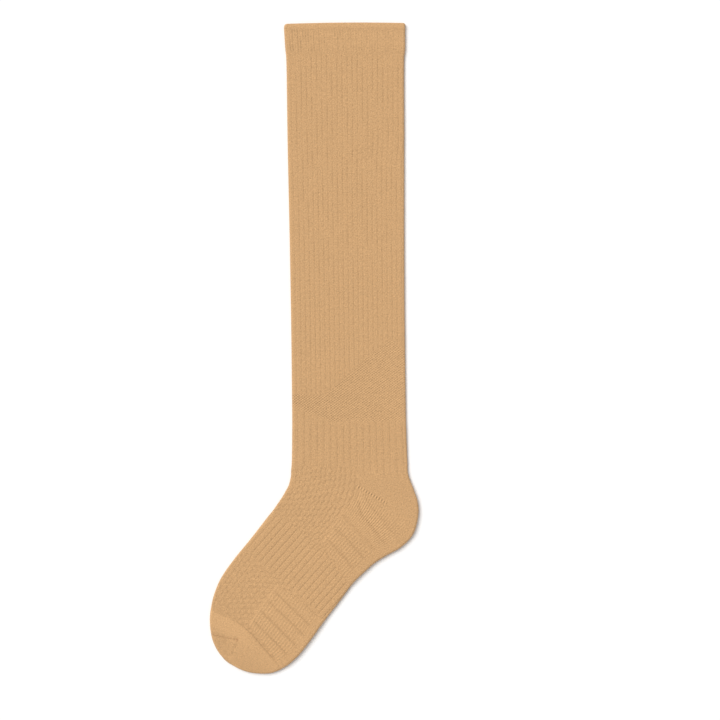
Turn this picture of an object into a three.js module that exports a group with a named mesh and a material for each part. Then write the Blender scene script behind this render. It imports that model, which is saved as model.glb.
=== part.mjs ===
// A knee-high compression stocking in ribbed knit, closed at the toe and laid flat on its side.
// Millimetres, +Z up. The leg runs along +Y to the mouth, and the toes point to -X and -Y.
// It is knitted in one: a turned welt, a leg with a mesh wedge, a heel pocket, a foot and a toe cap.
import * as THREE from "three";

// Sizes across the wall: two layers of knit lie on each other with a thin slit between them.
const slit = 0.5; // the empty space between the two layers
const foldReach = 1.8; // how far the round fold reaches in from the outline
const cavityInset = 1.9; // wall left at each fold, from the outline to the empty space

// Knit patterns that are raised on the side that shows.
const cuffRibs = 46; // fine ribs round the cuff, counted across one side
const legRibs = 23;
const ankleRibs = 17;
const archRibs = 18;
const ribShape = [-1, 0.35, 0.75, 0.35]; // groove, shoulder, crest and shoulder of one rib
const fineRibShape = [-1, 0.5];
const cuffRibDepth = 0.16;
const legRibDepth = 0.28;
const ankleRibDepth = 0.34;
const archRibDepth = 0.36;
const meshDrop = 0.3; // open mesh knit lies this much lower than the rib crests
const barRise = 0.45; // cushion bars on the sole stand this much higher than the mesh
const barGroove = 0.35;
const heelRise = 0.35; // the plain heel pocket is a little thicker than the ankle
const plainColumns = 24; // points across a side where the knit is plain
const barColumns = 32;
const underColumns = 6; // points across the flat underside and across the empty space

// The mesh wedge on the calf side of the leg, as its corners in the plan view.
const wedge = [
  { x: 63, y: 8 },
  { x: 33, y: -16 },
  { x: 9, y: -37.5 },
  { x: -11.5, y: -38 },
  { x: -11.5, y: -48 },
  { x: 13, y: -58.5 },
  { x: 76, y: -58.5 },
  { x: 76, y: -2 },
];

// One line for each knitted row that gives the outline its shape. front is the row's end on the
// shin and instep fold, back its end on the calf, heel and sole fold. bow is how far its middle
// is drawn towards the knee. wall is the knit's thickness at the front and at the back, split
// the place across the row where the front pattern meets the back one, and steps the number of
// rows down to the next line. raise lifts the underside where an edge is rounded off, and bar marks
// the middle line of a cushion bar. What a line leaves out is 0, or 1 for split and steps.
const rows = [
  { at: "mouth", front: [-23, 258.8], back: [72.5, 259.4], bow: 0.7, wall: [1.1, 1.1], raise: 0.7 },
  { at: "roll", front: [-23.8, 257.9], back: [72.8, 258.4], bow: 0.7, wall: [1.9, 1.9] },
  { at: "welt", front: [-24.3, 255.6], back: [72.8, 255.8], bow: 0.5, wall: [2, 2] },
  { at: "cuff", front: [-24.2, 254.6], back: [72.8, 254.8], bow: 0.5, wall: [1.8, 1.8], steps: 2 },
  { at: "cuff end", front: [-23.1, 238], back: [72.7, 238], wall: [1.8, 1.8] },
  { at: "leg", front: [-22.6, 234], back: [72.2, 234], wall: [1.5, 1.5], steps: 2 },
  { at: "calf", front: [-21.4, 166], back: [72.1, 166], wall: [1.5, 1.5], steps: 2 },
  { at: "shin", front: [-19.7, 86], back: [72.1, 86], wall: [1.5, 1.5], steps: 2 },
  { at: "wedge top", front: [-18.4, 9], back: [72.6, 9], wall: [1.5, 1.5], steps: 8 },
  { at: "wedge end", front: [-17.7, -58.5], back: [73.5, -58.5], wall: [1.5, 1.5] },
  { at: "ankle", front: [-17.7, -62], back: [73.6, -62], wall: [1.5, 1.5], steps: 2 },
  { at: "ankle end", front: [-18.1, -92], back: [74.7, -92], wall: [1.5, 1.6] },
  { at: "heel top", front: [-18.6, -98], back: [75.3, -101], bow: 0.5, wall: [1.5, 1.9], split: 0.58 },
  { at: "heel one", front: [-18.7, -101.8], back: [79.4, -112.2], bow: 2.5, wall: [1.5, 2.1], split: 0.56 },
  { at: "heel two", front: [-19, -103.6], back: [82.8, -122.4], bow: 4.5, wall: [1.5, 2.1], split: 0.55 },
  { at: "heel tip", front: [-19.3, -105], back: [83.5, -132], bow: 6.5, wall: [1.5, 2.1], split: 0.54 },
  { at: "heel three", front: [-19.8, -107.2], back: [79.3, -148.7], bow: 10.5, wall: [1.5, 2.1], split: 0.52 },
  { at: "heel bar 5", front: [-20.4, -109.2], back: [69.5, -159.2], bow: 11.1, wall: [1.5, 2.1], split: 0.5, bar: true },
  { at: "heel bar 4", front: [-21.4, -111.4], back: [58.9, -165.3], bow: 9.2, wall: [1.5, 2.1], split: 0.49, bar: true },
  { at: "heel bar 3", front: [-23, -114.3], back: [49.2, -171.3], bow: 6.7, wall: [1.5, 2.1], split: 0.49, bar: true },
  { at: "heel bar 2", front: [-25.1, -118], back: [41.1, -178.3], bow: 3.8, wall: [1.5, 2.1], split: 0.5, bar: true },
  { at: "heel bar 1", front: [-29.8, -125], back: [32.5, -186.5], bow: 3.6, wall: [1.5, 2.1], split: 0.5, bar: true },
  { at: "arch top", front: [-33.6, -130.4], back: [29, -190.6], bow: 5, wall: [1.6, 1.9] },
  { at: "arch", front: [-36.6, -134], back: [27, -193.4], bow: 4.4, wall: [1.6, 1.9], steps: 2 },
  { at: "arch middle", front: [-48.2, -149], back: [19.4, -203.6], bow: 0.6, wall: [1.6, 1.9] },
  { at: "arch end", front: [-54.6, -157], back: [11.2, -214.2], bow: 0.5, wall: [1.6, 1.9] },
  { at: "ball bar 1", front: [-60.7, -164.3], back: [4.8, -222.8], bow: 1.1, wall: [1.6, 2.1], split: 0.45, bar: true },
  { at: "ball bar 2", front: [-66.2, -171.4], back: [-0.8, -230.8], bow: 1.6, wall: [1.6, 2.1], split: 0.45, bar: true },
  { at: "ball bar 3", front: [-71.3, -178.5], back: [-6.5, -238.5], bow: 1.4, wall: [1.6, 2.1], split: 0.45, bar: true },
  { at: "ball bar 4", front: [-76.3, -187], back: [-13.1, -246.5], bow: 1.1, wall: [1.6, 2.1], split: 0.45, bar: true },
  { at: "ball bar 5", front: [-80.9, -199.2], back: [-20.9, -253.4], bow: 3.1, wall: [1.7, 2.1], split: 0.45, bar: true },
  { at: "toe edge", front: [-82.8, -208.4], back: [-26.4, -256.8], bow: 6, wall: [1.8, 1.8] },
  { at: "toe cap", front: [-83.2, -210.6], back: [-28, -257.6], bow: 6.2, wall: [2, 2] },
  { at: "toe one", front: [-83.6, -217.6], back: [-35, -260], bow: 5.6, wall: [2, 2] },
  { at: "toe two", front: [-83.1, -225], back: [-44.6, -260.2], bow: 4.4, wall: [2, 2] },
  { at: "toe three", front: [-81.4, -233.4], back: [-53, -259], bow: 2.6, wall: [2, 2] },
  { at: "toe four", front: [-78.2, -240.6], back: [-60.2, -256.4], bow: 1, wall: [1.9, 1.9] },
  { at: "toe five", front: [-75.6, -244.6], back: [-63.6, -254.6], wall: [1.6, 1.6] },
  { at: "toe end", front: [-73.6, -247], back: [-66, -253.2], bow: -0.6, wall: [1, 1], raise: 0.7 },
].map((row) => ({ bow: 0, split: 1, steps: 1, raise: 0, ...row }));
const foldAngles = [45, 0, -45].map(THREE.MathUtils.degToRad);
const cavityStopsBefore = 3; // the empty space ends this many lines before the toe's end
const barRowOffsets = [-0.5, -0.3, 0.3]; // groove, then the two edges of the bar, about its own line

const indexOf = (name) => rows.findIndex((row) => row.at === name);
const zones = {
  cuff: indexOf("cuff"),
  cuffEnd: indexOf("cuff end"),
  leg: indexOf("leg"),
  wedgeEnd: indexOf("wedge end"),
  ankle: indexOf("ankle"),
  ankleEnd: indexOf("ankle end"),
  heelTop: indexOf("heel top"),
  firstHeelBar: indexOf("heel bar 5"),
  archTop: indexOf("arch top"),
  arch: indexOf("arch"),
  archEnd: indexOf("arch end"),
  firstBallBar: indexOf("ball bar 1"),
  toeEdge: indexOf("toe edge"),
};

// A smooth curve through one edge of the rows, read at any place between two of them.
function edgeCurve(key) {
  const points = rows.map((row) => new THREE.Vector3(row[key][0], row[key][1], 0));
  const curve = new THREE.CatmullRomCurve3(points, false, "centripetal");
  return (t) => curve.getPoint(t / (rows.length - 1));
}
const frontEdge = edgeCurve("front");
const backEdge = edgeCurve("back");

// A value from the table, blended between the rows on each side of t.
function between(t, read) {
  const low = Math.min(Math.floor(t), rows.length - 1);
  const high = Math.min(low + 1, rows.length - 1);
  return THREE.MathUtils.lerp(read(rows[low]), read(rows[high]), t - low);
}

// The plan position across row t at u, which runs from 0 on the front fold to 1 on the back fold.
function planPoint(t, u) {
  const front = frontEdge(t);
  const back = backEdge(t);
  const across = back.clone().sub(front);
  const upwards = new THREE.Vector3(-across.y, across.x, 0).normalize();
  const bow = between(t, (row) => row.bow);
  return front.lerp(back, u).addScaledVector(upwards, 4 * u * (1 - u) * bow);
}

const rowWidth = (t) => frontEdge(t).distanceTo(backEdge(t));

function wallAt(t, u) {
  const front = between(t, (row) => row.wall[0]);
  const back = between(t, (row) => row.wall[1]);
  return THREE.MathUtils.lerp(front, back, THREE.MathUtils.smoothstep(u, 0.3, 0.8));
}

function insideWedge(point) {
  let inside = false;
  wedge.forEach((a, i) => {
    const b = wedge[(i + 1) % wedge.length];
    const crosses = a.y > point.y !== b.y > point.y;
    if (crosses && point.x < a.x + ((point.y - a.y) * (b.x - a.x)) / (b.y - a.y)) inside = !inside;
  });
  return inside;
}

const ribs = (shape, depth, column) => depth * shape[column % shape.length];

// How many points row t has across the side that shows.
function columnsAt(t) {
  if (t < zones.cuff) return plainColumns;
  if (t <= zones.cuffEnd) return cuffRibs * fineRibShape.length;
  if (t < zones.ankle) return legRibs * ribShape.length;
  if (t <= zones.ankleEnd) return ankleRibs * ribShape.length;
  if (t < zones.arch) return t < zones.firstHeelBar - 0.5 ? plainColumns : barColumns;
  if (t <= zones.archEnd) return archRibs * ribShape.length;
  return t < zones.toeEdge ? barColumns : plainColumns;
}

// The height of the knit pattern over the plain wall at one point of row t.
function reliefAt(t, u, column, point) {
  if (t < zones.cuff) return 0;
  if (t <= zones.cuffEnd) return ribs(fineRibShape, cuffRibDepth, column);
  if (t < zones.ankle) return insideWedge(point) ? -meshDrop : ribs(ribShape, legRibDepth, column);
  if (t <= zones.ankleEnd) return ribs(ribShape, ankleRibDepth, column);
  if (t >= zones.arch && t <= zones.archEnd) return ribs(ribShape, archRibDepth, column);
  if (t >= zones.toeEdge) return t === zones.toeEdge ? -barGroove : 0;
  if (u < between(t, (row) => row.split)) return -meshDrop;
  if (t < zones.firstHeelBar - 0.5) return heelRise;
  const fromLine = Math.abs(t - Math.round(t));
  return fromLine < 0.4 && t !== zones.archTop ? barRise : -barGroove;
}

// The places between the table's lines where the solid has a row of points.
function rowPlaces() {
  const places = [];
  rows.forEach((row, i) => {
    if (row.bar) barRowOffsets.forEach((offset) => places.push(i + offset));
    else for (let k = 0; k < row.steps; k++) places.push(i + k / row.steps);
  });
  places.push(rows.length - 1);
  return places;
}

// The ring of points round the outside at row t: the side that shows, the back fold, the flat
// underside and the front fold. Each point has a place s along the ring to match rings by.
function outerRing(t) {
  const width = rowWidth(t);
  const reach = Math.min(foldReach, width / 4);
  const columns = columnsAt(t);
  const rise = between(t, (row) => row.raise);
  const thickness = (u) => 2 * wallAt(t, u) + slit;
  const ring = [];
  for (let k = 0; k <= columns; k++) {
    const u = (reach + ((width - 2 * reach) * k) / columns) / width;
    const point = planPoint(t, u);
    const atFold = k === 0 || k === columns;
    point.z = rise + thickness(u) + (atFold ? 0 : reliefAt(t, u, k, point));
    ring.push({ s: k / columns, point });
  }
  const foldPoint = (onBack, angle) => {
    const inset = (reach * (1 - Math.cos(angle))) / width;
    const u = onBack ? 1 - inset : inset;
    const point = planPoint(t, u);
    point.z = rise + (thickness(u) * (1 + Math.sin(angle))) / 2;
    return point;
  };
  foldAngles.forEach((angle, k) => ring.push({ s: 1.1 + k / 10, point: foldPoint(true, angle) }));
  for (let k = 0; k <= underColumns; k++) {
    const u = 1 - (reach + ((width - 2 * reach) * k) / underColumns) / width;
    const point = planPoint(t, u);
    point.z = rise;
    ring.push({ s: 1.4 + k / underColumns, point });
  }
  foldAngles.forEach((angle, k) => ring.push({ s: 2.5 + k / 10, point: foldPoint(false, -angle) }));
  return ring;
}

// The ring round the empty space between the two layers, with places s that match the outside's.
function innerRing(t) {
  const width = rowWidth(t);
  const rise = between(t, (row) => row.raise);
  const side = (k, start, onTop) => {
    const across = cavityInset + ((width - 2 * cavityInset) * k) / underColumns;
    const u = (onTop ? across : width - across) / width;
    const point = planPoint(t, u);
    point.z = rise + wallAt(t, u) + (onTop ? slit : 0);
    return { s: start + k / underColumns, point };
  };
  const columns = Array.from({ length: underColumns + 1 }, (_, k) => k);
  return [...columns.map((k) => side(k, 0, true)), ...columns.map((k) => side(k, 1.4, false))];
}

// Faces between two closed rings: each step moves on along the ring whose next point comes first.
function bridge(triangles, a, b, inwards) {
  const ringEnd = 2.8;
  const placeOf = (ring, i) => (i < ring.length ? ring[i].s : ringEnd);
  let i = 0;
  let j = 0;
  while (i < a.length || j < b.length) {
    const onA = j >= b.length || (i < a.length && placeOf(a, i + 1) <= placeOf(b, j + 1));
    const from = a[i % a.length].point;
    const across = b[j % b.length].point;
    const next = onA ? a[(i + 1) % a.length].point : b[(j + 1) % b.length].point;
    triangles.push(inwards ? [from, next, across] : [from, across, next]);
    if (onA) i++;
    else j++;
  }
}

// A face over the end of the last ring, fanned from the middle of its underside.
function closeEnd(triangles, ring, inwards) {
  const middle = ring.findIndex((place) => place.s >= 1.9);
  for (let k = 1; k < ring.length - 1; k++) {
    const b = ring[(middle + k) % ring.length].point;
    const c = ring[(middle + k + 1) % ring.length].point;
    triangles.push(inwards ? [ring[middle].point, b, c] : [ring[middle].point, c, b]);
  }
}

function stockingGeometry() {
  const triangles = [];
  const outside = rowPlaces().map(outerRing);
  const inside = rows.slice(0, -cavityStopsBefore).map((_, i) => innerRing(i));
  outside.slice(1).forEach((ring, i) => bridge(triangles, outside[i], ring, false));
  inside.slice(1).forEach((ring, i) => bridge(triangles, inside[i], ring, true));
  bridge(triangles, outside[0], inside[0], true);
  closeEnd(triangles, outside.at(-1), false);
  closeEnd(triangles, inside.at(-1), true);
  return new THREE.BufferGeometry().setFromPoints(triangles.flat());
}

const geometry = stockingGeometry();
geometry.computeVertexNormals();
const knit = new THREE.MeshStandardMaterial({ color: 0xd0a678, roughness: 0.92, metalness: 0 });
const stocking = new THREE.Mesh(geometry, knit);
stocking.name = "stocking";

const part = new THREE.Group();
part.add(stocking);
export default part;
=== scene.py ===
import math

import bmesh
import bpy
import numpy as np
from mathutils import Matrix, Vector
from mathutils.bvhtree import BVHTree


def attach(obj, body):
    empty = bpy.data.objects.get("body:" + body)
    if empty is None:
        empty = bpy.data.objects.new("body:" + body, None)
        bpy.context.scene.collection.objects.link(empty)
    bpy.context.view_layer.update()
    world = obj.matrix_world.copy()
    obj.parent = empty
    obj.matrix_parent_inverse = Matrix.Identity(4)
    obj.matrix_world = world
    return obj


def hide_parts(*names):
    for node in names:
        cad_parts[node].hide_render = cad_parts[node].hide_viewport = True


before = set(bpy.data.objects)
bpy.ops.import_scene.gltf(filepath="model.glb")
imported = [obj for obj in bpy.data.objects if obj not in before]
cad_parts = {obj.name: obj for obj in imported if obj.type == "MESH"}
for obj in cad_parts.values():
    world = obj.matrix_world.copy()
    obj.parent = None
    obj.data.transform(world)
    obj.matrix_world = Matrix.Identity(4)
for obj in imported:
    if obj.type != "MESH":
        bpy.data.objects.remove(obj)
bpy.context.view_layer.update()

# The stocking: one seamless circular knit in nylon, cotton and elastane, laid flat on its side.
# It is two skins, the knit's face and its back, joined round the mouth. Both follow the knitted
# rows, each of which runs from the front fold over the side that shows to the back fold.
MM = 0.001
TURN = 2 * math.pi
SLIT = 0.5  # millimetres between the two layers of knit
FOLD = 1.8  # how far the round fold reaches in from the outline
LEAST_FOLD = 0.25  # how far it reaches at least, deep in the wall
ROWS = [  # name, front fold, back fold, bow towards the knee, wall at front and back, pattern split
    ("mouth", (-23, 259.5), (72.5, 260.2), 0.7, (1.9, 1.9), 1),
    ("roll", (-23.8, 258.6), (72.8, 259.2), 0.7, (1.9, 1.9), 1),
    ("welt", (-24.3, 256.1), (72.8, 256.4), 0.5, (2, 2), 1),
    ("cuff", (-24.2, 254.6), (72.8, 254.8), 0.5, (1.8, 1.8), 1),
    ("cuff end", (-23.1, 238), (72.7, 238), 0, (1.8, 1.8), 1),
    ("leg", (-22.6, 234), (72.2, 234), 0, (1.5, 1.5), 1),
    ("calf", (-21.4, 166), (72.1, 166), 0, (1.5, 1.5), 1),
    ("shin", (-19.7, 86), (72.1, 86), 0, (1.5, 1.5), 1),
    ("wedge top", (-18.4, 9), (72.6, 9), 0, (1.5, 1.5), 1),
    ("wedge end", (-17.7, -58.5), (73.5, -58.5), 0, (1.5, 1.5), 1),
    ("ankle", (-17.7, -62), (73.6, -62), 0, (1.5, 1.5), 1),
    ("ankle end", (-18.1, -92), (74.7, -92), 0, (1.5, 1.6), 1),
    ("heel top", (-18.6, -98), (75.3, -101), 0.5, (1.5, 1.9), 0.58),
    ("heel one", (-18.7, -101.8), (79.4, -112.2), 2.5, (1.5, 2.1), 0.56),
    ("heel two", (-19, -103.6), (82.8, -122.4), 4.5, (1.5, 2.1), 0.55),
    ("heel tip", (-19.3, -105), (83.5, -132), 6.5, (1.5, 2.1), 0.54),
    ("heel three", (-19.8, -107.2), (79.3, -148.7), 10.5, (1.5, 2.1), 0.52),
    ("heel bar 5", (-20.4, -109.2), (69.5, -159.2), 11.1, (1.5, 2.1), 0.5),
    ("heel bar 4", (-21.4, -111.4), (58.9, -165.3), 9.2, (1.5, 2.1), 0.49),
    ("heel bar 3", (-23, -114.3), (49.2, -171.3), 6.7, (1.5, 2.1), 0.49),
    ("heel bar 2", (-25.1, -118), (41.1, -178.3), 3.8, (1.5, 2.1), 0.53),
    ("heel bar 1", (-29.8, -125), (32.5, -186.5), 3.6, (1.5, 2.1), 0.53),
    ("arch top", (-33.6, -130.4), (29, -190.6), 5, (1.6, 1.9), 1),
    ("arch", (-36.6, -134), (27, -193.4), 4.4, (1.6, 1.9), 1),
    ("arch middle", (-48.2, -149), (19.4, -203.6), 0.6, (1.6, 1.9), 1),
    ("arch end", (-54.6, -157), (11.2, -214.2), 0.5, (1.6, 1.9), 1),
    ("ball bar 1", (-60.7, -164.3), (4.8, -222.8), 1.1, (1.6, 2.1), 0.45),
    ("ball bar 2", (-66.2, -171.4), (-0.8, -230.8), 1.6, (1.6, 2.1), 0.45),
    ("ball bar 3", (-71.3, -178.5), (-6.5, -238.5), 1.4, (1.6, 2.1), 0.45),
    ("ball bar 4", (-76.3, -187), (-13.1, -246.5), 1.1, (1.6, 2.1), 0.45),
    ("ball bar 5", (-80.9, -199.2), (-20.9, -253.4), 3.1, (1.7, 2.1), 0.45),
    ("toe edge", (-82.8, -208.4), (-26.4, -256.8), 6, (1.8, 1.8), 1),
    ("toe cap", (-83.2, -210.6), (-28, -257.6), 6.2, (2, 2), 1),
    ("toe one", (-83.6, -217.6), (-35, -260), 5.6, (2, 2), 1),
    ("toe two", (-83.1, -225), (-44.6, -260.2), 4.4, (2, 2), 1),
    ("toe three", (-81.4, -233.4), (-53, -259), 2.6, (2, 2), 1),
    ("toe four", (-78.2, -240.6), (-60.2, -256.4), 1, (1.9, 1.9), 1),
    ("toe five", (-75.6, -244.6), (-63.6, -254.6), 0, (1.7, 1.7), 1),
    ("toe end", (-73.6, -247), (-66, -253.2), -0.6, (1.6, 1.6), 1),
]
AT = {row[0]: i for i, row in enumerate(ROWS)}
LAST = len(ROWS) - 1


def through(points, t):
    """Points at t on a smooth curve through the rows' ends, evenly tense between uneven rows."""
    points = np.array(points, float)
    ends = np.array([2 * points[0] - points[1], *points, 2 * points[-1] - points[-2]])
    low = np.clip(np.floor(t).astype(int), 0, LAST - 1)
    p = [ends[low + k] for k in range(4)]
    d = [np.sqrt(np.linalg.norm(p[k + 1] - p[k], axis=-1))[..., None] for k in range(3)]
    into = ((p[1] - p[0]) / d[0] - (p[2] - p[0]) / (d[0] + d[1]) + (p[2] - p[1]) / d[1]) * d[1]
    out = ((p[2] - p[1]) / d[1] - (p[3] - p[1]) / (d[1] + d[2]) + (p[3] - p[2]) / d[2]) * d[1]
    w = (t - low)[..., None]
    bend = -3 * p[1] + 3 * p[2] - 2 * into - out
    return p[1] + w * (into + w * (bend + w * (2 * p[1] - 2 * p[2] + into + out)))


def column_of(rows, t):
    """A value that each row of the table gives, blended between the rows on each side of t."""
    return np.interp(t, np.arange(LAST + 1), rows)


def plan(t, u):
    """Where row t lies on the table at u, from 0 on the front fold to 1 on the back fold."""
    front = through([row[1] for row in ROWS], t)
    back = through([row[2] for row in ROWS], t)
    across = back - front
    upwards = np.stack([-across[..., 1], across[..., 0]], -1)
    upwards /= np.linalg.norm(upwards, axis=-1)[..., None]
    bow = column_of([row[3] for row in ROWS], t) * 4 * u * (1 - u)
    return front + u[..., None] * across + bow[..., None] * upwards


def width_of(t):
    """How wide row t lies, from fold to fold in millimetres."""
    front = through([row[1] for row in ROWS], t)
    return np.linalg.norm(through([row[2] for row in ROWS], t) - front, axis=-1)


def step(low, high, x):
    """0 below low, 1 above high, smooth between them."""
    k = np.clip((x - low) / (high - low), 0, 1)
    return k * k * (3 - 2 * k)


def wall_at(t, u):
    """How thick the knit is: more on the heel, sole and toe than on the leg and instep."""
    front = column_of([row[4][0] for row in ROWS], t)
    back = column_of([row[4][1] for row in ROWS], t)
    return front + (back - front) * step(0.3, 0.8, u)


def places_round(top, fold, under):
    """The columns round the tube: share across a side, angle round the fold, and which fold."""
    over = [(k / top, 90, 0) for k in range(top)]
    back = [(1, 90 - 180 * k / fold, 1) for k in range(fold)]
    below = [(1 - k / under, -90, 0) for k in range(under)]
    front = [(0, -90 + 180 * k / fold, -1) for k in range(fold + 1)]
    return np.array(over + back + below + front).T


def skin(t, columns, depth, squeeze):
    """One skin of the tube in millimetres. depth is its share of the way into the wall, and
    squeeze flattens a row towards the middle, as at the toe."""
    share, angle, fold = (part[None, :] for part in columns)
    t, squeeze = t[:, None] + 0 * share, squeeze[:, None]
    width = width_of(t)
    reach = np.minimum(FOLD, width / 4)
    angle = np.radians(angle)
    inset = depth[:, None] * wall_at(t, share + 0 * t)
    out = np.maximum(reach - inset, LEAST_FOLD) * np.cos(angle) * fold
    u = (reach + (width - 2 * reach) * share + out) / width
    middle = wall_at(t, u) + SLIT / 2
    z = middle + (middle - inset) * np.sin(angle) * squeeze
    return t, u, plan(t, u), z, np.sin(angle) * squeeze


SAMPLES = 4001  # places at which the way along the stocking is added up
RIM_ROWS = [0.09, 0.33, 0.7]  # extra rows that round the rim, in millimetres from the mouth


def places_along(gaps):
    """The mesh rows' places t, their ways from the mouth and the whole way, in millimetres. Each
    (t, gap) gives the distance between rows from there on."""
    t = np.linspace(0, LAST, SAMPLES)
    middle = plan(t, np.full(t.shape, 0.5))
    lengths = np.linalg.norm(np.diff(middle, axis=0), axis=1)
    starts, sizes = np.array(gaps).T
    gap = sizes[np.searchsorted(starts, t[1:], side="right") - 1]
    grown = np.concatenate([[0], np.cumsum(lengths / gap)])
    from_mouth = np.concatenate([[0], np.cumsum(lengths)])
    places = np.interp(np.linspace(0, grown[-1], int(grown[-1])), grown, t)
    rim = np.interp(RIM_ROWS, from_mouth, t)
    places = np.unique(np.concatenate([rim, places]))
    return places, np.interp(places, t, from_mouth), from_mouth[-1]


def wave(x, y, period, direction, at=(0, 0), phase=0, bend=0, fan=0):
    """The turn of a wave across the table, which runs in a direction in degrees. bend curves its
    crests and fan spreads them."""
    c, s = math.cos(math.radians(direction)), math.sin(math.radians(direction))
    x, y = x - at[0], y - at[1]
    along, aside = x * c + y * s, y * c - x * s
    return TURN * (along + bend * aside**2 / 2 + fan * along * aside) / period + phase


def furrow(turns, width):
    """1 at the bottom of the narrow furrow between two ribs and 0 on the ribs."""
    return np.exp(-(((np.mod(turns + 0.5, 1) - 0.5) / width) ** 2))


RIB_KINDS = 64  # ribs that break in their own ways before the ways repeat


def broken(rib, along, seed):
    """From 0 to 1 along each rib: its furrow opens and closes at its own places."""
    rng = np.random.default_rng(seed)
    k = np.mod(np.round(rib).astype(int), RIB_KINDS)
    first, second = rng.uniform(35, 90, RIB_KINDS)[k], rng.uniform(12, 30, RIB_KINDS)[k]
    start, other = rng.uniform(0, 6.28, RIB_KINDS)[k], rng.uniform(0, 6.28, RIB_KINDS)[k]
    waves = np.sin(TURN * along / first + start)
    waves = waves + 0.6 * np.sin(TURN * along / second + other)
    return step(-1.1, 1.1, waves)


def near_line(x, y, a, b, width):
    """How near a point is to the line from a to b, 1 to 0, and how far on its left in mm."""
    length = math.dist(a, b)
    dx, dy = (b[0] - a[0]) / length, (b[1] - a[1]) / length
    along = (x - a[0]) * dx + (y - a[1]) * dy
    aside = (y - a[1]) * dx - (x - a[0]) * dy
    ends = step(-1.5, 1, along) * (1 - step(length - 1, length + 1.5, along))
    return np.exp(-((aside / width) ** 2)) * ends, aside


def wedge_edges(x):
    """The upper and the lower edge of the wedge of mesh knit low on the calf."""
    top = np.interp(x, [-18, 9, 33, 61, 76], [-36.5, -37.5, -16, 7, -6])
    return top, np.interp(x, [-18, -11.5, 13, 76], [-46, -49, -58.5, -58.5])


CUFF_RIBS = 45.4  # fine ribs across the cuff
UPPER_RIBS, LOWER_RIBS = 23.1, 23.63  # broad ribs across the upper and the lower leg
ANKLE_RIBS = 17.5  # broad ribs across the ankle
# Where the pattern's waves start on the instep, the heel's fan of ribs, the arch and the toes.
INSTEP, FAN, ARCH, TOES = (6.5, -118.5), (45.8, -137.8), (-10.96, -173.8), (-55.2, -192.5)
GORE = (34.2, -110.2), (58, -123.8)  # where the heel pocket's narrowed stitches show as dashes
SUNKEN = [  # from, to, width and painted shade of the toe seam's groove and of the puckers at its end
    ((-84, -228), (-72.6, -231), 0.75, 11),
    ((-72.6, -231), (-62.4, -232.7), 1, 7),
    ((-63.6, -232.2), (-60.6, -232.6), 1.4, 11),
    ((-62.2, -236.6), (-63.2, -239.6), 1, 13),
    ((-64.4, -241.6), (-66.2, -246), 1.2, 7),
    ((-71.2, -233.4), (-71.4, -237), 1.3, 4),
    ((-75.5, -233.5), (-75.8, -240), 0.9, 5),
]


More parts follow.
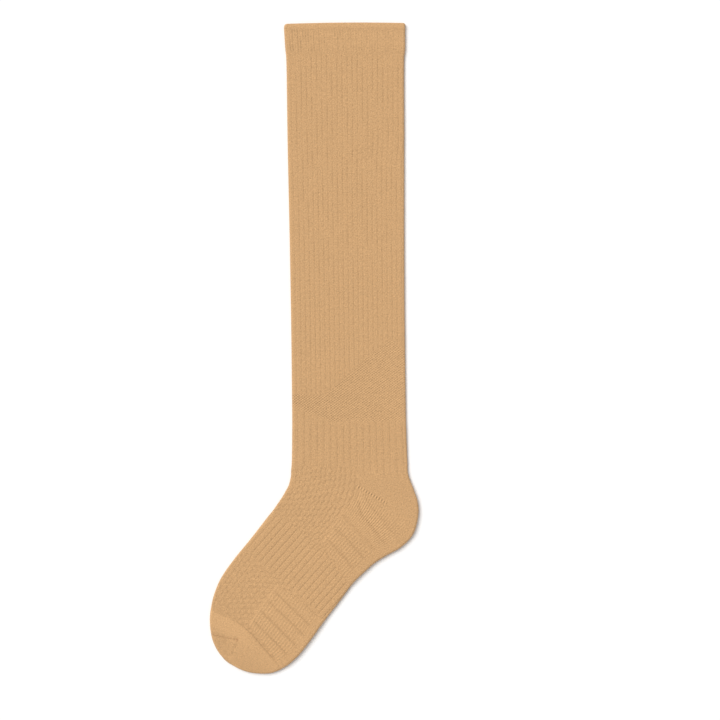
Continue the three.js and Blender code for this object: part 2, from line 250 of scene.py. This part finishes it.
def knit_pattern(t, u, x, y):
    """What the knit does at each place, where t counts the rows of the table from the mouth and u
    goes from the front fold to the back fold. height is in millimetres over the plain wall, and
    shade its tone, which is partly the knit's own and partly painted shade and painted light. turns
    counts the broad ribs, furrow says how much painted shade darkens the line between two of them,
    and narrow how wide. ribs counts the fine ribs, and ribbed says how strongly they show."""
    keys = ("height", "shade", "turns", "furrow", "narrow", "ribs", "ribbed")
    made = {key: np.zeros(t.shape) for key in keys}

    def add(zone, **values):
        for key, value in values.items():
            made[key] = made[key] + zone * value

    top, foot = wedge_edges(x)
    over_wedge, under_wedge = step(-0.9, 0.9, y - top), step(-0.9, 0.9, foot - y)
    wedge = 1 - over_wedge - under_wedge
    split = column_of([row[5] for row in ROWS], t)
    on_sole, rising = step(-0.008, 0.008, u - split), step(-0.03, 0.04, u - split)
    off_fold = 0.35 + 0.65 * step(0.05, 0.09, u)
    # The rolled welt and the fine ribs of the cuff band.
    add(1 - step(2.3, 3, t), shade=5)
    # Painted shade in the slight crease under the roll.
    add(np.exp(-(((t - 3.06) / 0.06) ** 2)), shade=-2.5, height=-0.06)
    turns = CUFF_RIBS * u
    add((t > 1.5) * (t < 4.5), turns=turns, narrow=0.23)
    cuff = step(3.02, 3.15, t) * (1 - step(3.95, 4.15, t))
    add(cuff * (1 - step(3.7, 3.85, t)), shade=2.4)
    uneven = broken(turns, y, 3)
    add(cuff, height=0.03 - 0.09 * furrow(turns, 0.26), shade=1.5)
    # Painted shade in the furrows between the cuff's fine ribs.
    add(cuff, furrow=(2.6 + 9 * uneven) * (1.7 - 1.1 * u))
    # Painted light where the cuff ends, against the shade on the step down to the thinner leg.
    add(np.exp(-(((y - 236.5) / 2.6) ** 2)), shade=2.2)
    # The leg's ribs: a broken furrow every sixth wale, with a shallower one half way. Both are sunk
    # a little and darkened with painted shade.
    leg = step(4.5, 4.8, t) * over_wedge
    upper = step(150, 165, y)
    turns = upper * UPPER_RIBS * (u - 0.041) + (1 - upper) * LOWER_RIBS * (u - 0.0457)
    steady = 1 - step(10, 120, y)
    uneven = broken(turns, y, 5) * (1 - 0.7 * steady) + 0.5 * steady
    half = broken(turns + 0.5, y, 8) * (1 - 0.7 * steady) + 0.5 * steady
    deep, shallow = furrow(turns, 0.15), furrow(turns + 0.5, 0.15)
    add((t >= 4.5) * (y > (top + foot) / 2), turns=turns, narrow=0.115)
    add(leg, height=0.12 - (0.12 + 0.12 * uneven) * deep - 0.04 * shallow)
    add(leg, furrow=(2.2 + 9.6 * uneven) * off_fold, shade=1.1 - 1.4 * half * shallow)
    add(wedge, height=-0.15, shade=3.6)
    # The ankle's wider ribs, each with two finer furrows in it. All its furrows are darkened with
    # painted shade.
    on_heel = step(0.5, 0.6, u)
    into_foot = step(11.1, 11.7, t - 0.9 * on_heel)
    ankle = under_wedge * (1 - into_foot)
    turns = ANKLE_RIBS * (u - 0.053)
    uneven = 0.3 + 0.5 * broken(turns, y, 12)
    fine = furrow(3 * turns, 0.23)
    add((y <= (top + foot) / 2) * (t < 12.6), turns=turns, narrow=0.175)
    add(ankle, height=0.1 - (0.1 + 0.1 * uneven) * furrow(turns, 0.17) - 0.03 * fine)
    add(ankle, furrow=(1.4 + 7.4 * uneven) * off_fold, shade=2 - 4.6 * fine)
    # The open mesh over the instep: tucked stitches that leave rows of slanting pits. Painted shade
    # darkens the pits and painted light brightens the knit between them, in step with their height.
    before_arch = 1 - step(21.9, 22.3, t)
    instep = into_foot * (1 - on_sole) * before_arch
    first = wave(x, y, 3.83, -22, INSTEP, -1.3, bend=0.0156, fan=-0.004)
    second = wave(x, y, 5.18, -82, INSTEP, -2.9, bend=0.0034, fan=-0.008)
    wander = 0.35 * np.sin(wave(x, y, 9, 65)) + 0.35 * np.sin(wave(x, y, 7.3, -12))
    first, second = first + wander, second - wander
    inner = step(0.15, 0.45, u)
    relief = (2.2 + 1.4 * inner) * np.cos(first) + (2.2 - 0.9 * inner) * np.cos(second)
    relief = relief - 1.6 * np.cos(first) * np.cos(second) + 2.9 * np.sin(first) * np.sin(second)
    relief = relief - np.cos(2 * first) - 2.1 * np.sin(2 * first) * np.sin(second)
    add(instep, height=-0.06 + 0.022 * relief, shade=1.25 * relief)
    add(into_foot * before_arch, shade=-2.2)
    # The heel pocket, plain at the back and ribbed finely towards the sole in a fan.
    gore, over_gore = near_line(x, y, *GORE, 1.1)
    fan = np.exp(-(((0.8 * x + 0.6 * y + 45) / 8) ** 2) - ((0.6 * x - 0.8 * y - 138) / 20) ** 2)
    below = step(1.6, 3.6, -over_gore) * step(12.6, 13.6, t) * (1 - step(18.2, 18.7, t))
    turns = wave(x, y, 1.8, -41, FAN, bend=0.0132, fan=-0.0115) / TURN
    add((t >= 12.4) * (t < 18.6), ribs=turns)
    on_heel = into_foot * step(0.455, 0.48, u) * (1 - step(0.9, 0.97, u))
    add(on_heel, ribbed=below * (6 + 14.5 * fan))
    add(into_foot * rising * (1 - step(16.2, 16.5, t)), height=0.25, shade=1.2)
    # The cushion bars across the heel and the ball of the foot, finely ribbed along the foot. They
    # end at the arch and at the toe cap's wavy edge, which lies to_cap millimetres further on.
    tilt = np.interp(u, [0.48, 0.54, 0.62, 0.74, 0.86, 0.99], [1.3, 1.05, 0.29, -0.07, -0.3, -0.46])
    edge_at = [0, 0.14, 0.23, 0.32, 0.41, 0.57, 0.71, 0.82, 1]
    above_row = np.interp(u, edge_at, [0, -1, 0.5, 1.2, 1.1, -0.4, -1.4, -0.9, 0])
    to_edge = AT["toe edge"] - t
    to_cap = to_edge * np.where(to_edge > 0, np.interp(u, [0, 0.5, 1], [9.4, 5, 6.5]), 2)
    to_cap = to_cap - above_row
    before_cap = step(0, 0.8, to_cap)
    ribs_at = [22, 26, 26.5, 27, 27.5, 28, 28.5, 29, 29.5, 30]
    strong = np.interp(t, ribs_at, [8, 5.6, 6.2, 7, 6, 5.6, 6.2, 7.6, 8.2, 8.8])
    bar = t + tilt * np.interp(t, [16.5, 17.5, 18.5, 19], [1, 0.5, 0.1, 0])
    inside = 1 - step(0.89, 0.95, u)
    faint = 4 * np.exp(-(((bar - 18.5) / 0.3) ** 2))
    bands = [  # first and last bar, fine ribs across a side, painted shade between bars, and end
        ("heel bar 5", "heel bar 1", 37, 8, 1 - step(21.8, 22, t)),
        ("ball bar 1", "ball bar 5", 35, 12.5, before_cap),
    ]
    for first_bar, last_bar, ribs, dark, ends in bands:
        first_bar, last_bar = AT[first_bar], AT[last_bar]
        bars = step(first_bar - 0.6, first_bar - 0.45, bar) * (t < last_bar + 2) * ends
        between = 0.5 - np.abs(bar - np.round(bar))
        from_gap = np.where(bar > last_bar, AT["arch top"] - bar, between)
        gap = np.exp(-((from_gap / 0.08) ** 2)) * inside * step(split + 0.01, split + 0.05, u)
        fine = (1 - 0.6 * gap) * inside * step(18.5, 19, t)
        add((t >= max(first_bar - 0.5, 18.6)) * (t < last_bar + 1.5), ribs=ribs * u)
        # The gaps between the bars sink a little and are darkened with painted shade.
        add(bars * rising, height=0.3 - 0.4 * gap)
        add(bars * on_sole, shade=1.6 - (dark - faint) * gap, ribbed=strong * fine)
    # The arch band: broad ribs between narrow furrows, which painted shade darkens.
    arch = step(21.9, 22.2, t) * (1 - step(25.15, 25.4, t))
    turns = wave(x, y, 4.8, -41.75, ARCH, -0.21) / TURN + 0.5
    add((t >= 21.8) * (t < 25.4), turns=turns, narrow=0.063)
    add(arch, height=0.12 - 0.22 * furrow(turns, 0.12), shade=1.2, furrow=22 * off_fold)
    # The mesh over the toes, with painted shade in its pits and painted light on the knit between
    # them.
    toes = step(25.15, 25.4, t) * before_cap * (1 - on_sole)
    first = wave(x, y, 3.58, -39.6, TOES, -0.3, bend=0.001, fan=-0.0016)
    second = wave(x, y, 4.18, -89, TOES, -1.15, bend=-0.0045)
    first, second = first + wander, second - wander
    relief = (2.8 - 0.8 * step(0, 0.35, u)) * np.cos(first)
    relief = relief + (1.1 + 2.2 * step(0.05, 0.4, u)) * np.cos(second)
    relief = relief + 3.5 * np.sin(first + 0.67) * np.sin(second) - 1.4 * np.cos(2 * first)
    add(toes, height=-0.06 + 0.022 * relief, shade=1.3 * relief - 1.2)
    # The toe cap: plain, with a sunken edge, a sunken seam and small puckers at the seam's end.
    # Painted shade darkens the sunken edge, the seam's groove and the puckers.
    edge_at = [0.04, 0.12, 0.33, 0.43, 0.5, 0.8, 0.9, 1]
    edge = np.interp(u, edge_at, [0, 0.25, 0.35, 0.9, 1, 0.8, 0.4, 0])
    add((t > 30.2) * (t < 33), turns=to_cap / 10, narrow=0.06)
    add(1 - step(1.5, 3, np.abs(to_cap)), furrow=19 * edge)
    add(np.exp(-((to_cap / 0.9) ** 2)), height=-0.2 * edge)
    plain = 1 - step(-0.5, 0.2, to_cap)
    add(plain, height=0.05, shade=4.8)
    cap = plain * (1 - step(32.9, 34.2, t)) * step(0, 0.06, u) * (1 - step(0.35, 0.65, u))
    add(cap, height=0.08, shade=5.5)
    for a, b, width, dark in SUNKEN:
        near, _ = near_line(x, y, a, b, width)
        add(near, height=-0.03 * dark, shade=-dark)
    # Painted light on the back fold, a little lighter against the shade on its round side.
    add(step(0.972, 0.99, u), shade=8)
    # Soft waves, because knit never lies quite flat.
    rng = np.random.default_rng(21)
    for _ in range(10):
        turn = wave(x, y, rng.uniform(28, 75), rng.uniform(0, 180), phase=rng.uniform(0, 6.28))
        made["height"] = made["height"] + 0.035 * np.sin(turn)
    return made | {"wedge": wedge * (1.2 - 0.4 * u), "gore": gore}


COLUMNS = places_round(top=192, fold=5, under=44)
OUTER_GAPS = [(0, 0.6), (2, 1.6), (5, 4), (7.85, 1.8), (10.9, 0.72), (22, 0.95)]
INNER_GAPS = [(0, 2), (2, 7), (10.9, 5)]
T, FROM_MOUTH, LENGTH = places_along(OUTER_GAPS)
RIM = 1.0  # the roll's radius in millimetres
TOE_END = 2.2  # millimetres over which the toe's end rounds off
WALES = 142  # stitches across one side
COURSE = 0.85  # millimetres from one knitted course to the next


def wales_round(u, columns):
    """The count of stitches round the tube: over the top from the front fold, and back under."""
    _, angle, fold = columns
    return WALES * np.where(angle < 0, 2 - u, np.where(fold < 0, 2 + u, u))


def outer_skin():
    """The face of the knit, from the middle of the rim's wall to the closed toe."""
    at_mouth = np.sqrt(1 - (1 - np.clip(FROM_MOUTH / RIM, 0, 1)) ** 2)
    at_toe = np.sqrt(1 - (1 - np.clip((LENGTH - FROM_MOUTH) / TOE_END, 0.05, 1)) ** 2)
    t, u, where, z, up = skin(T, COLUMNS, 0.5 * (1 - at_mouth), at_toe)
    made = knit_pattern(t, u, where[..., 0], where[..., 1])
    made["wale"] = wales_round(u, COLUMNS)
    rise = np.clip(up, 0, 1) * (at_mouth * at_toe)[:, None]
    points = np.concatenate([where, (z + made.pop("height") * rise)[..., None]], -1) * MM
    made["shade"] = made["shade"] * rise
    return points, made


def inner_skin():
    """The back of the knit, round the empty space, as far as the toe cap's thick end."""
    t, from_mouth, _ = places_along(INNER_GAPS)
    kept = (t <= AT["toe three"]) * (from_mouth > 0.2)
    t, from_mouth = t[kept], from_mouth[kept]
    at_mouth = np.sqrt(1 - (1 - np.clip(from_mouth / RIM, 0, 1)) ** 2)
    columns = places_round(top=14, fold=3, under=14)
    _, u, where, z, _ = skin(t, columns, 0.5 + 0.5 * at_mouth, 1 + 0 * t)
    return np.concatenate([where, z[..., None]], -1) * MM, {"wale": wales_round(u, columns)}


def knit_tube(points, values, reverse):
    """A grid of knit joined into a tube and closed at the toe, with its stitch count as UV map."""
    rows, columns = points.shape[:2]
    wales = values.pop("wale")
    steps = np.linalg.norm(np.diff(points, axis=0), axis=-1) / MM / COURSE
    courses = np.concatenate([np.zeros((1, columns)), np.cumsum(steps, axis=0)])
    bm = bmesh.new()
    bmesh.ops.create_grid(bm, x_segments=columns - 1, y_segments=rows - 1, size=0.5)
    layers = {name: bm.verts.layers.float.new(name) for name in values}
    stitches = bm.loops.layers.uv.new("stitches")
    place = {}
    for vert in bm.verts:
        j, i = round((vert.co.y + 0.5) * (rows - 1)), round((vert.co.x + 0.5) * (columns - 1))
        place[vert] = j, i
        for name, layer in layers.items():
            vert[layer] = values[name][j, i]
    for face in bm.faces:
        for loop in face.loops:
            j, i = place[loop.vert]
            loop[stitches].uv = wales[j, i], courses[j, i]
    for vert, (j, i) in place.items():
        vert.co = points[j, i]
    if reverse:
        bmesh.ops.reverse_faces(bm, faces=bm.faces)
    bmesh.ops.remove_doubles(bm, verts=bm.verts, dist=1e-6)
    toe = [edge for edge in bm.edges if edge.is_boundary and edge.verts[0].co.y < 0]
    filled = bmesh.ops.edgeloop_fill(bm, edges=toe)["faces"]
    bmesh.ops.triangulate(bm, faces=filled)
    return bm


def piece_of(bm, name):
    """The smooth object of a finished mesh, put into the scene."""
    mesh = bpy.data.meshes.new(name)
    bm.to_mesh(mesh)
    mesh.polygons.foreach_set("use_smooth", [True] * len(mesh.polygons))
    piece = bpy.data.objects.new(name, mesh)
    bpy.context.scene.collection.objects.link(piece)
    return piece


def joined(name, *tubes):
    """One mesh of the two skins, bridged round the mouth."""
    bm = bmesh.new()
    for tube in tubes:
        part = bpy.data.meshes.new(name)
        tube.to_mesh(part)
        bm.from_mesh(part)
        bpy.data.meshes.remove(part)
    rims = [edge for edge in bm.edges if edge.is_boundary]
    bmesh.ops.bridge_loops(bm, edges=rims)
    bmesh.ops.recalc_face_normals(bm, faces=bm.faces)
    return piece_of(bm, name)


class Link:
    """A shader socket, which sums and products turn into Math nodes."""

    def __init__(self, tree, socket=None):
        self.tree, self.socket = tree, socket

    def feed(self, node, sockets):
        """Give the sockets of a node their values or links."""
        for name, value in sockets.items():
            if isinstance(value, Link):
                self.tree.links.new(value.socket, node.inputs[name])
            else:
                node.inputs[name].default_value = value

    def node(self, kind, settings, sockets, output=0):
        """A new node of a kind, with its settings, which are set first, and its sockets."""
        made = self.tree.nodes.new(kind)
        for name, value in settings.items():
            setattr(made, name, value)
        self.feed(made, sockets)
        return Link(self.tree, made.outputs[output])

    def maths(self, operation, *values):
        """A Math node of the values, or of this socket alone."""
        values = values or (self,)
        return self.node("ShaderNodeMath", {"operation": operation}, dict(enumerate(values)))

    def __add__(self, other):
        return self.maths("ADD", self, other)

    def __radd__(self, other):
        return self.maths("ADD", other, self)

    def __sub__(self, other):
        return self.maths("SUBTRACT", self, other)

    def __rsub__(self, other):
        return self.maths("SUBTRACT", other, self)

    def __mul__(self, other):
        return self.maths("MULTIPLY", self, other)

    def __rmul__(self, other):
        return self.maths("MULTIPLY", other, self)


def new_finish(name):
    """A new material, its shader, and the Link that makes its nodes."""
    material = bpy.data.materials.new(name)
    material.use_nodes = True
    return material, material.node_tree.nodes["Principled BSDF"], Link(material.node_tree)


KNIT_WARM = (0.675, 0.38, 0.17, 1)
KNIT_COOL = (0.605, 0.383, 0.193, 1)
SHADE = 0.0117  # how much one step of shade changes the colour, be it the knit's own tone, painted shade or painted light
YARN_TONE = 0.4  # how much the yarn's fine noise changes it
STITCH_TONE = 0.34  # how much it changes unevenly from stitch to stitch
DASH = 0.00233  # metres from one dash of the gore to the next


def knit_finish(name):
    """Nylon, cotton and elastane in a warm sand colour: V stitches, fluffed yarn, flecks, and the
    pattern's tone with its painted shade and light.
    """
    material, shader, at = new_finish(name)
    place = at.node("ShaderNodeTexCoord", {}, {}, "Object")
    stitch = at.node("ShaderNodeUVMap", {"uv_map": "stitches"}, {})
    wale = at.node("ShaderNodeSeparateXYZ", {}, {0: stitch}, "X")
    course = at.node("ShaderNodeSeparateXYZ", {}, {0: stitch}, "Y")
    x = at.node("ShaderNodeSeparateXYZ", {}, {0: place}, "X")
    y = at.node("ShaderNodeSeparateXYZ", {}, {0: place}, "Y")

    def attribute(name):
        return at.node("ShaderNodeAttribute", {"attribute_name": name}, {}, "Fac")

    def noise(where, scale, detail):
        sockets = {"Vector": where, "Scale": scale, "Detail": detail}
        return at.node("ShaderNodeTexNoise", {}, sockets, 0)

    def ripple(period, direction):
        kx, ky = math.cos(math.radians(direction)), math.sin(math.radians(direction))
        return (x * (TURN * kx / period) + y * (TURN * ky / period)).maths("COSINE")

    across = (wale.maths("FRACT") - 0.5).maths("ABSOLUTE")
    leg = (across * TURN).maths("SINE")
    loops = ((course + across * 1.1) * TURN).maths("COSINE")
    stitch_height = leg * (0.6 + loops * 0.4)
    lattice = ripple(0.00164, -53.5) * 2 + ripple(0.00158, 52) * 2.2
    wedge = attribute("wedge")
    turns, narrow = attribute("turns"), attribute("narrow")
    # The furrows' painted shade, darkest along their middle lines.
    to_furrow = ((turns + 0.5).maths("FRACT") - 0.5).maths("ABSOLUTE")
    to_furrow = to_furrow.maths("DIVIDE", to_furrow, narrow + 0.001)
    furrow = (to_furrow * to_furrow * -1).maths("EXPONENT") * attribute("furrow")
    ribbed = (attribute("ribs") * TURN).maths("COSINE") * attribute("ribbed")
    length = math.dist(*GORE)
    dx, dy = (GORE[1][0] - GORE[0][0]) / length, (GORE[1][1] - GORE[0][1]) / length
    dash = ((dx * x + dy * y) * (TURN / DASH)).maths("COSINE")
    shade = attribute("shade") - furrow + ribbed - (dash * 34 + 5) * attribute("gore")
    yarn, mottle, fleck = noise(place, 1050, 1), noise(place, 90, 2), noise(place, 1500, 2)
    stretch = {0: stitch, 1: (1, 0.75, 1)}
    uneven = noise(at.node("ShaderNodeVectorMath", {"operation": "MULTIPLY"}, stretch), 0.85, 0)
    # The colour follows the wedge's lattice and the stitches' height: painted light on their raised
    # parts and painted shade between them.
    tone = 1 + shade * SHADE + wedge * lattice * 0.047 + (yarn - 0.5) * YARN_TONE
    tone = tone + (mottle - 0.5) * 0.02 + (stitch_height - 0.4) * 0.06
    tone = tone + (uneven - 0.5) * STITCH_TONE
    blend = {0: fleck, 6: KNIT_WARM, 7: KNIT_COOL}
    fibre = at.node("ShaderNodeMix", {"data_type": "RGBA"}, blend, 2)
    colour = at.node("ShaderNodeVectorMath", {"operation": "SCALE"}, {0: fibre, "Scale": tone})
    height = stitch_height * 0.1 + (yarn - 0.5) * 0.5 + wedge * lattice * 0.06
    bump = at.node("ShaderNodeBump", {}, {"Strength": 1.0, "Distance": MM, "Height": height})
    surface = {"Base Color": colour, "Roughness": 0.84 + yarn * 0.14, "Normal": bump}
    at.feed(shader, surface | {"Specular IOR Level": 0.25})
    sheen = {"Sheen Weight": 0.15, "Sheen Roughness": 0.5, "Sheen Tint": (1, 0.86, 0.7, 1)}
    at.feed(shader, sheen)
    return material


face, back = knit_tube(*outer_skin(), True), knit_tube(*inner_skin(), False)
stocking = joined("knit_stocking", face, back)
stocking.data.materials.append(knit_finish("knit"))
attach(stocking, "root")
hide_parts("stocking")

# The toe seam closes the tube over the toes. It is linked with one thread, stitch by stitch, from
# the front fold to a small knot, and lies sunk between two lips of the knit.
THREAD_DARK, THREAD_LIGHT = (0.48, 0.25, 0.11, 1), (0.62, 0.35, 0.16, 1)
SEAM = (-82.4, -228.4), (-72.6, -231), (-62.4, -232.7)  # the seam's way, ending at the knot
LOOP = (1.25, 0.34, 0.4)  # a loop's length, width and height in millimetres
LOOP_STEP = 0.95  # millimetres from one loop to the next
KNOT = [  # x, y, size and turn of the knot's two turns and of its two loose ends
    (-61.9, -232.6, (1.3, 0.9, 0.9), 0.4),
    (-61.3, -233.2, (1.1, 0.7, 0.8), 1.8),
    (-60.9, -234.3, (1.9, 0.3, 0.35), -1.1),
    (-62.1, -234.2, (1.6, 0.3, 0.35), -1.9),
]
surface = BVHTree.FromObject(stocking, bpy.context.evaluated_depsgraph_get())
bm = bmesh.new()


def thread(x, y, size, turn, sunk):
    """One loop of thread on the knit: its place, size and turn, and how deep it sits."""
    on_knit = surface.ray_cast(Vector((x * MM, y * MM, 0.1)), Vector((0, 0, -1)))[0].z / MM
    place = Matrix.Translation(Vector((x, y, on_knit - sunk)) * MM) @ Matrix.Rotation(turn, 4, "Z")
    shape = Matrix.Diagonal([side * MM for side in size] + [1])
    bmesh.ops.create_uvsphere(bm, u_segments=10, v_segments=6, radius=0.5, matrix=place @ shape)


for start, end in zip(SEAM, SEAM[1:]):
    across = math.atan2(end[1] - start[1], end[0] - start[0])
    count = round(math.dist(start, end) / LOOP_STEP)
    for k in range(count):
        x, y = (a + (b - a) * (k + 0.5) / count for a, b in zip(start, end))
        thread(x, y, LOOP, across + (0.5 if k % 2 else -0.5), 0.06)
for x, y, size, turn in KNOT:
    thread(x, y, size, turn, 0)
bmesh.ops.recalc_face_normals(bm, faces=bm.faces)
seam = piece_of(bm, "toe_seam")
sewn, shader, at = new_finish("thread")
place = at.node("ShaderNodeTexCoord", {}, {}, "Object")
ply = at.node("ShaderNodeTexNoise", {}, {"Vector": place, "Scale": 2600, "Detail": 2}, 0)
bands = {"Vector": place, "Scale": 900}
twist = at.node("ShaderNodeTexWave", {"bands_direction": "DIAGONAL"}, bands, 1)
blend = {0: ply, 6: THREAD_DARK, 7: THREAD_LIGHT}
colour = at.node("ShaderNodeMix", {"data_type": "RGBA"}, blend, 2)
bump = at.node("ShaderNodeBump", {}, {"Distance": 0.0001, "Height": twist + ply})
at.feed(shader, {"Base Color": colour, "Roughness": 0.7 + ply * 0.2, "Normal": bump})
at.feed(shader, {"Specular IOR Level": 0.3, "Sheen Weight": 0.15, "Sheen Roughness": 0.5})
seam.data.materials.append(sewn)
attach(seam, "root")

# The floor is one wide, plain sheet of matt pale paper that the stocking lies on. It is only the
# stage, and isn't fixed to anything.
bm = bmesh.new()
bmesh.ops.create_grid(bm, x_segments=1, y_segments=1, size=8)
floor = piece_of(bm, "floor")
paper, shader, at = new_finish("paper")
at.feed(shader, {"Base Color": (0.96, 0.96, 0.96, 1), "Roughness": 0.95})
at.feed(shader, {"Specular IOR Level": 0.0})
floor.data.materials.append(paper)

# The camera hangs 1.6 m over the floor and looks straight down, because the photograph shows the
# stocking from above. Its long lens keeps the sides of the stocking from leaning.
camera = bpy.data.cameras.new("camera")
camera.lens = 100
looking = bpy.data.objects.new("camera", camera)
looking.location = (0.03664, -0.00936, 1.603)
bpy.context.scene.collection.objects.link(looking)
bpy.context.scene.camera = looking

# The light is soft and even, as in a studio: a pale sky all round, and a broad lamp high up on
# the upper left, which leaves a soft shadow along the right side of the stocking.
sky = bpy.data.worlds.new("sky")
sky.use_nodes = True
sky.node_tree.nodes["Background"].inputs["Color"].default_value = (1, 1, 1, 1)
sky.node_tree.nodes["Background"].inputs["Strength"].default_value = 0.5
bpy.context.scene.world = sky
lamp = bpy.data.lights.new("lamp", "SUN")
lamp.angle = math.radians(35)
lamp.energy = 2.3
hung = bpy.data.objects.new("lamp", lamp)
hung.location = (-0.9, 0.7, 1.6)
hung.rotation_euler = hung.location.to_track_quat("Z", "Y").to_euler()
bpy.context.scene.collection.objects.link(hung)
bpy.context.scene.view_settings.view_transform = "Standard"
